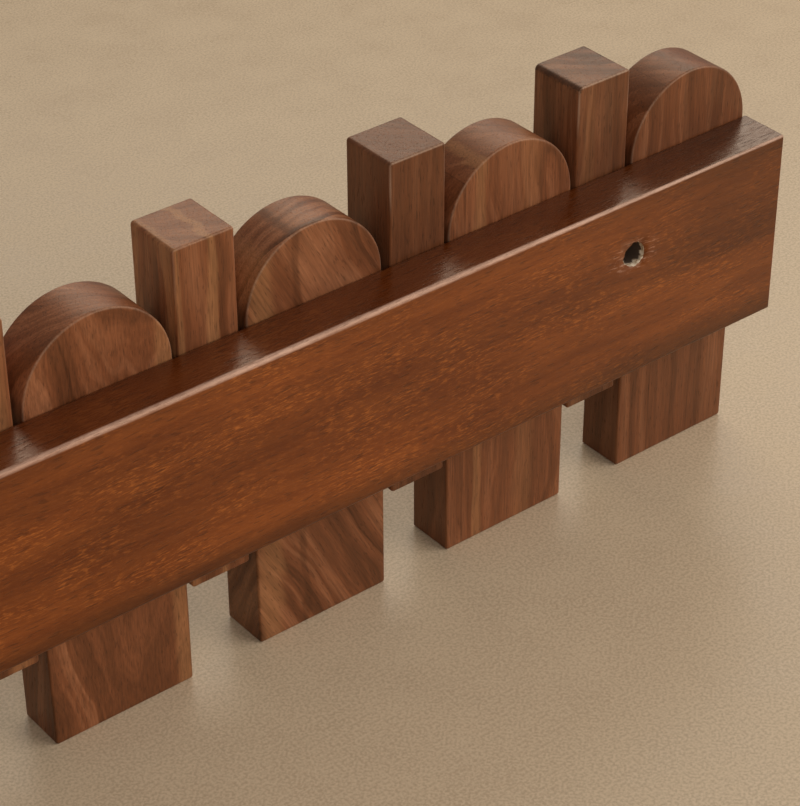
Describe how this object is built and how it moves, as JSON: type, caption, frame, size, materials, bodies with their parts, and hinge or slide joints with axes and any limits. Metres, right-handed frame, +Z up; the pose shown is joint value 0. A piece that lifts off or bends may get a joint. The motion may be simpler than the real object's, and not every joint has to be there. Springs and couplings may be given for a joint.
{
  "type": "wall rack with fold-down hooks",
  "caption": "Long wooden wall rack: arch-topped blocks dowelled to a stained rail, with square posts between them that tip forward on steel pins as hooks.",
  "frame": {"origin": "on the floor under the feet, at the middle of the rack's length and depth", "axes": "+X along the rail, +Y from the hooks towards the wall, +Z up; the hooks face -Y"},
  "size_m": [0.517, 0.0472, 0.185],
  "materials": {
    "stained_rail": "red-brown stain under semi-gloss lacquer",
    "walnut_blocks": "satin oiled walnut",
    "walnut_posts": "satin oiled walnut",
    "pin_steel": "ground steel",
    "dowel_beech": "raw beech"
  },
  "bodies": {
    "rack": {"back_rail": "stained_rail", "arch_block_1": "walnut_blocks", "arch_block_2": "walnut_blocks", "arch_block_3": "walnut_blocks", "arch_block_4": "walnut_blocks", "arch_block_5": "walnut_blocks", "arch_block_6": "walnut_blocks", "pivot_pin_1": "pin_steel", "pivot_pin_2": "pin_steel", "pivot_pin_3": "pin_steel", "pivot_pin_4": "pin_steel", "pivot_pin_5": "pin_steel", "arch_dowels_1": "dowel_beech", "arch_dowels_2": "dowel_beech", "arch_dowels_3": "dowel_beech", "arch_dowels_4": "dowel_beech", "arch_dowels_5": "dowel_beech", "arch_dowels_6": "dowel_beech"},
    "hook_1": {"hook_post_1": "walnut_posts"},
    "hook_2": {"hook_post_2": "walnut_posts"},
    "hook_3": {"hook_post_3": "walnut_posts"},
    "hook_4": {"hook_post_4": "walnut_posts"},
    "hook_5": {"hook_post_5": "walnut_posts"}
  },
  "joints": [
    {"name": "hook_1_fold", "type": "hinge", "parent": "rack", "child": "hook_1", "pos_m": [-0.182, -0.01135, 0.056], "axis": [1, 0, 0], "range_deg": [0, 65]},
    {"name": "hook_2_fold", "type": "hinge", "parent": "rack", "child": "hook_2", "pos_m": [-0.091, -0.01135, 0.056], "axis": [1, 0, 0], "range_deg": [0, 65]},
    {"name": "hook_3_fold", "type": "hinge", "parent": "rack", "child": "hook_3", "pos_m": [0, -0.01135, 0.056], "axis": [1, 0, 0], "range_deg": [0, 65]},
    {"name": "hook_4_fold", "type": "hinge", "parent": "rack", "child": "hook_4", "pos_m": [0.091, -0.01135, 0.056], "axis": [1, 0, 0], "range_deg": [0, 65]},
    {"name": "hook_5_fold", "type": "hinge", "parent": "rack", "child": "hook_5", "pos_m": [0.182, -0.01135, 0.056], "axis": [1, 0, 0], "range_deg": [0, 65]}
  ]
}
